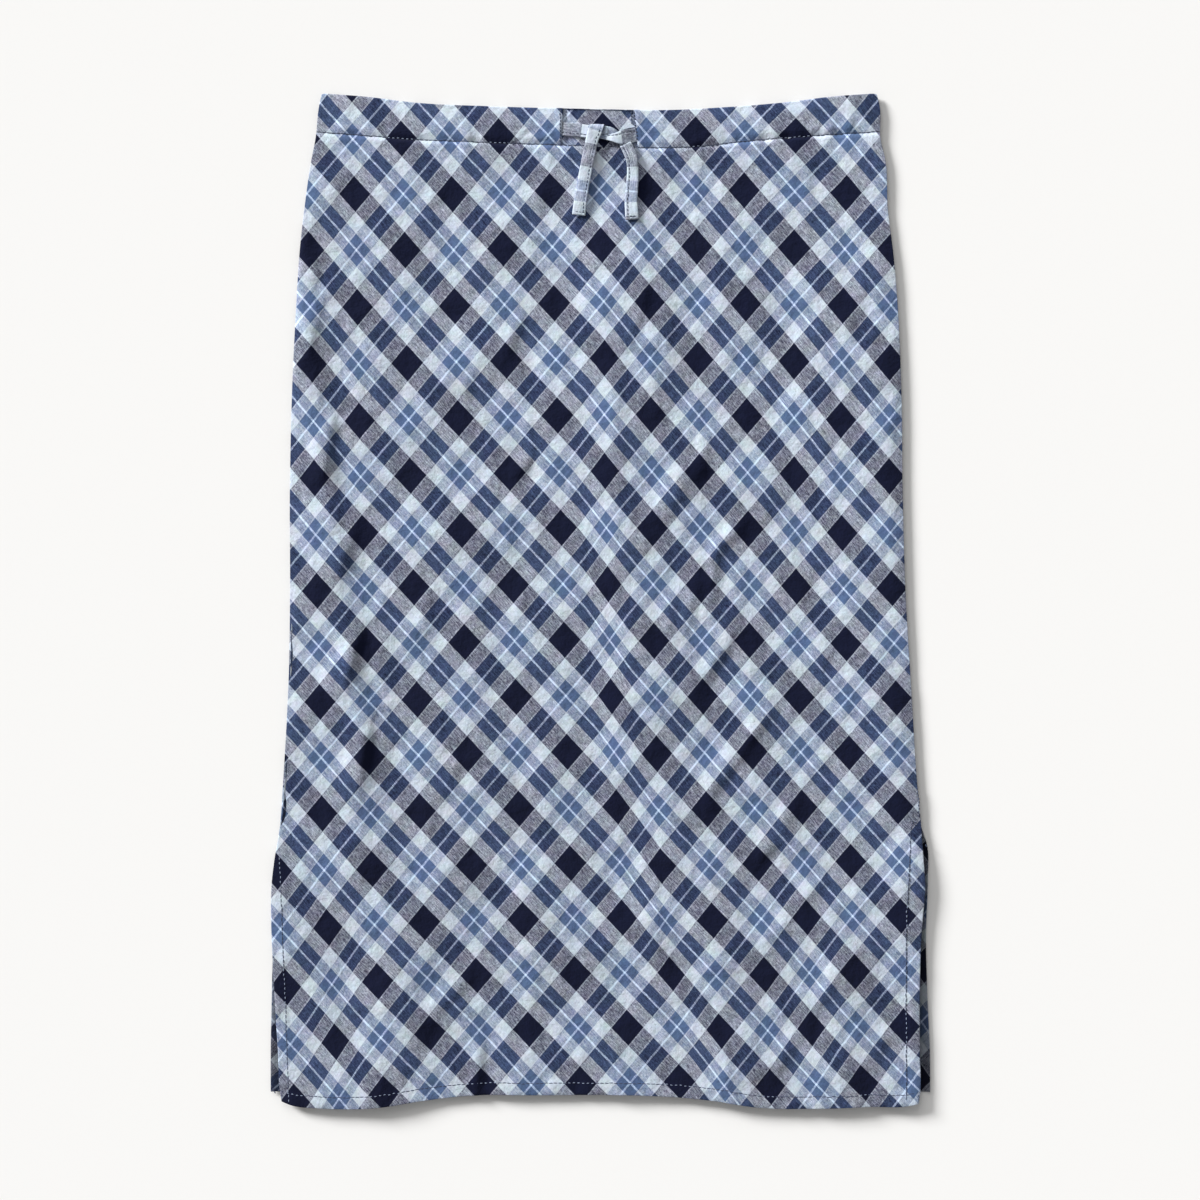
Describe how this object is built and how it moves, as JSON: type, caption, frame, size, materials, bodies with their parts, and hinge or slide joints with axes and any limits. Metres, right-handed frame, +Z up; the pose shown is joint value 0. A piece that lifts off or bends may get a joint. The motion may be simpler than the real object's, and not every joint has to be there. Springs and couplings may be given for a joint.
{
  "type": "midi skirt",
  "caption": "Bias-cut plaid midi skirt laid flat, with a self casing open at the centre front, a flat drawstring tied in a half knot, and side slits.",
  "frame": {"origin": "under the middle of the skirt's outline, on the surface that it lies on", "axes": "+Z up, out of the skirt's front; +Y from hem to waist; +X to the right as the front is seen"},
  "size_m": [0.5105, 0.7855, 0.0089],
  "materials": {
    "front_plaid": "crinkled yarn-dyed cotton plaid, matte",
    "back_plaid": "crinkled yarn-dyed cotton plaid, matte",
    "tie_cloth": "folded and stitched strip of the same plaid cotton, matte"
  },
  "bodies": {
    "root": {"front_panel": "front_plaid", "back_panel": "back_plaid", "drawstring_left_band": "tie_cloth", "drawstring_right_band": "tie_cloth", "drawstring_knot": "tie_cloth", "drawstring_left_tail": "tie_cloth", "drawstring_right_tail": "tie_cloth"}
  },
  "joints": []
}
